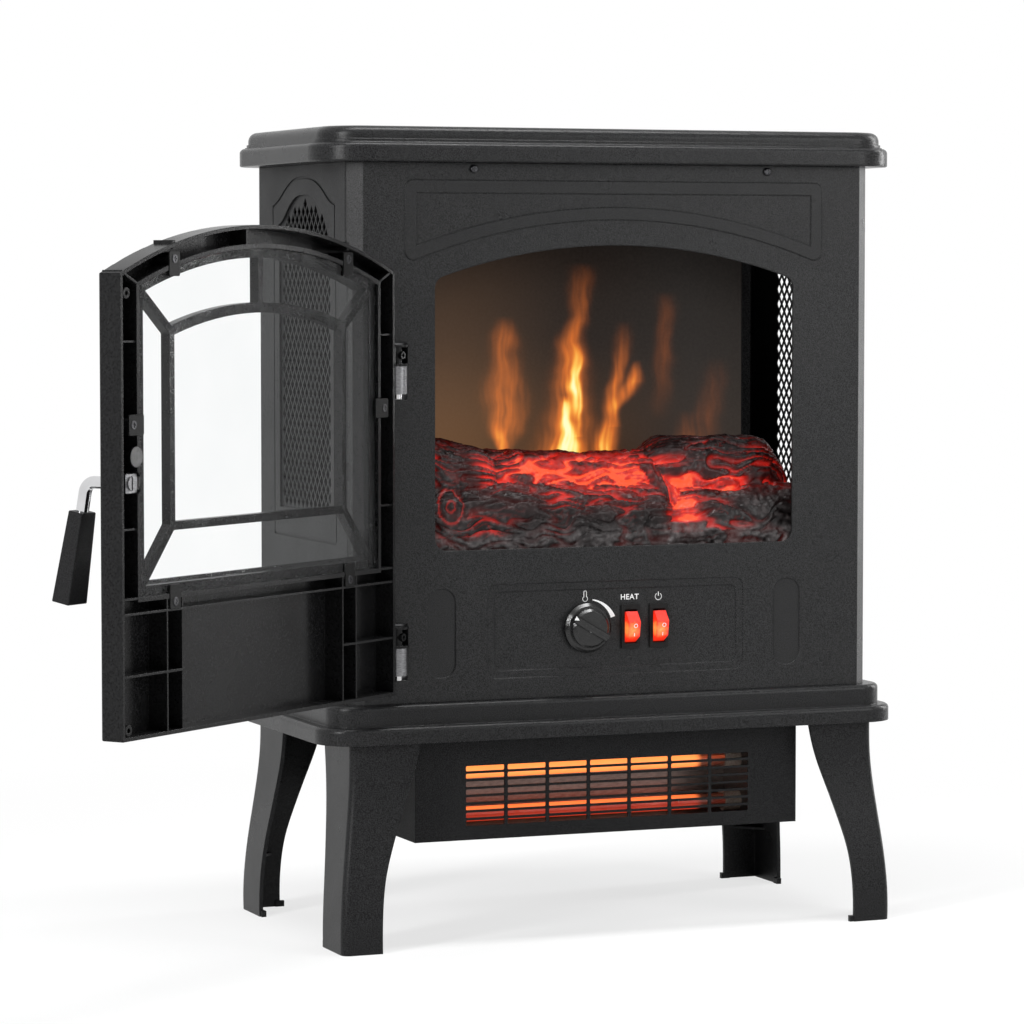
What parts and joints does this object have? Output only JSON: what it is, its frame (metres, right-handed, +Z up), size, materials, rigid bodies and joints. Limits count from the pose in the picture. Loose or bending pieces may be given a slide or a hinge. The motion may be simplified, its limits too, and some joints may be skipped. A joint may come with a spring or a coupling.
{
  "type": "electric stove heater",
  "caption": "Small free-standing electric stove heater on four curved legs, with a glazed front door on a side hinge over a log-fire display, and a slotted warm-air outlet below.",
  "frame": {"origin": "on the floor, in the middle of the rectangle that the heater covers with its door open", "axes": "+X to the right seen from the front, +Y from front to back, +Z up"},
  "size_m": [0.6976, 0.4294, 0.5885],
  "materials": {
    "powder_coat": "fine textured black powder coat",
    "black_moulding": "textured black, heat-resistant moulding",
    "door_plastic": "semi-gloss black moulding",
    "clear_glass": "clear tempered pane",
    "quartz": "clear quartz tube",
    "heating_wire": "resistance wire, glowing orange",
    "ceramic_white": "unglazed white ceramic",
    "bright_steel": "plain bright steel",
    "polished_aluminium": "polished reflector sheet",
    "zinc_plated": "zinc-plated steel",
    "chrome_rod": "polished chrome plating",
    "black_screws": "blackened steel",
    "logs": "moulded bark and embers, glowing red in the grooves",
    "frosted_screen": "thin translucent screen, lit by the flame picture",
    "circuit_board": "green board with small lamps",
    "inner_plastic": "plain dark moulding",
    "motor_steel": "plated motor can",
    "magnet": "dark sintered magnet face",
    "rocker_red": "translucent red, lit from inside",
    "knob_plastic": "satin black with a white pointer",
    "mesh": "black expanded metal",
    "gland_rubber": "black rubber"
  },
  "bodies": {
    "cabinet": {"front_panel": "powder_coat", "back_panel": "powder_coat", "side_panel_left": "powder_coat", "side_panel_right": "powder_coat", "side_mesh_left": "mesh", "side_mesh_right": "mesh", "top_cover": "black_moulding", "base_plate": "black_moulding", "leg_front_left": "black_moulding", "leg_front_right": "black_moulding", "leg_back_left": "black_moulding", "leg_back_right": "black_moulding", "leg_screws": "black_screws", "case_screws": "black_screws", "terminal_block": "inner_plastic", "cord_gland": "gland_rubber", "heater_box": "powder_coat", "reflector": "polished_aluminium", "quartz_tube_upper": "quartz", "quartz_tube_lower": "quartz", "element_upper": "heating_wire", "element_lower": "heating_wire", "tube_end_upper_left": "ceramic_white", "tube_end_upper_right": "ceramic_white", "tube_end_lower_left": "ceramic_white", "tube_end_lower_right": "ceramic_white", "tube_plate_left": "zinc_plated", "tube_plate_right": "zinc_plated", "fan_housing": "zinc_plated", "fan_motor": "motor_steel", "thermal_cutout": "inner_plastic", "fire_shelf": "powder_coat", "log_set": "logs", "flame_screen": "frosted_screen", "spindle_bearing": "inner_plastic", "spindle_motor": "motor_steel", "lamp_strip": "circuit_board", "thermostat": "inner_plastic", "bushing_nut": "zinc_plated", "switch_body_heat": "inner_plastic", "switch_body_power": "inner_plastic", "hinge_plate_upper": "zinc_plated", "hinge_plate_lower": "zinc_plated", "hinge_pins": "bright_steel", "hinge_screws": "zinc_plated"},
    "door": {"door_shell": "door_plastic", "door_glass": "clear_glass", "glass_clips": "inner_plastic", "clip_screws": "black_screws", "door_magnet": "magnet", "handle_rod": "chrome_rod", "handle_grip": "door_plastic", "handle_screw": "zinc_plated"},
    "temperature_knob": {"knob": "knob_plastic", "thermostat_shaft": "bright_steel"},
    "heat_rocker": {"rocker_heat": "rocker_red"},
    "power_rocker": {"rocker_power": "rocker_red"},
    "spindle": {"flame_spindle": "polished_aluminium"},
    "fan": {"fan_wheel": "polished_aluminium"}
  },
  "joints": [
    {"name": "door_hinge", "type": "hinge", "parent": "cabinet", "child": "door", "pos_m": [-0.0517, -0.00753, 0.35], "axis": [0, 0, 1], "range_deg": [0, 142.6]},
    {"name": "knob_turn", "type": "hinge", "parent": "cabinet", "child": "temperature_knob", "pos_m": [0.0973, -0.00273, 0.2266], "axis": [0, 1, 0], "range_deg": [0, 130]},
    {"name": "heat_rocker_tilt", "type": "hinge", "parent": "cabinet", "child": "heat_rocker", "pos_m": [0.1318, -0.00053, 0.2265], "axis": [1, 0, 0], "range_deg": [-20, 0]},
    {"name": "power_rocker_tilt", "type": "hinge", "parent": "cabinet", "child": "power_rocker", "pos_m": [0.1544, -0.00053, 0.2265], "axis": [1, 0, 0], "range_deg": [-20, 0]},
    {"name": "spindle_turn", "type": "hinge", "parent": "cabinet", "child": "spindle", "pos_m": [0.1208, 0.15657, 0.322], "axis": [1, 0, 0], "continuous": true},
    {"name": "fan_turn", "type": "hinge", "parent": "cabinet", "child": "fan", "pos_m": [0.1208, 0.12457, 0.12], "axis": [1, 0, 0], "continuous": true}
  ]
}
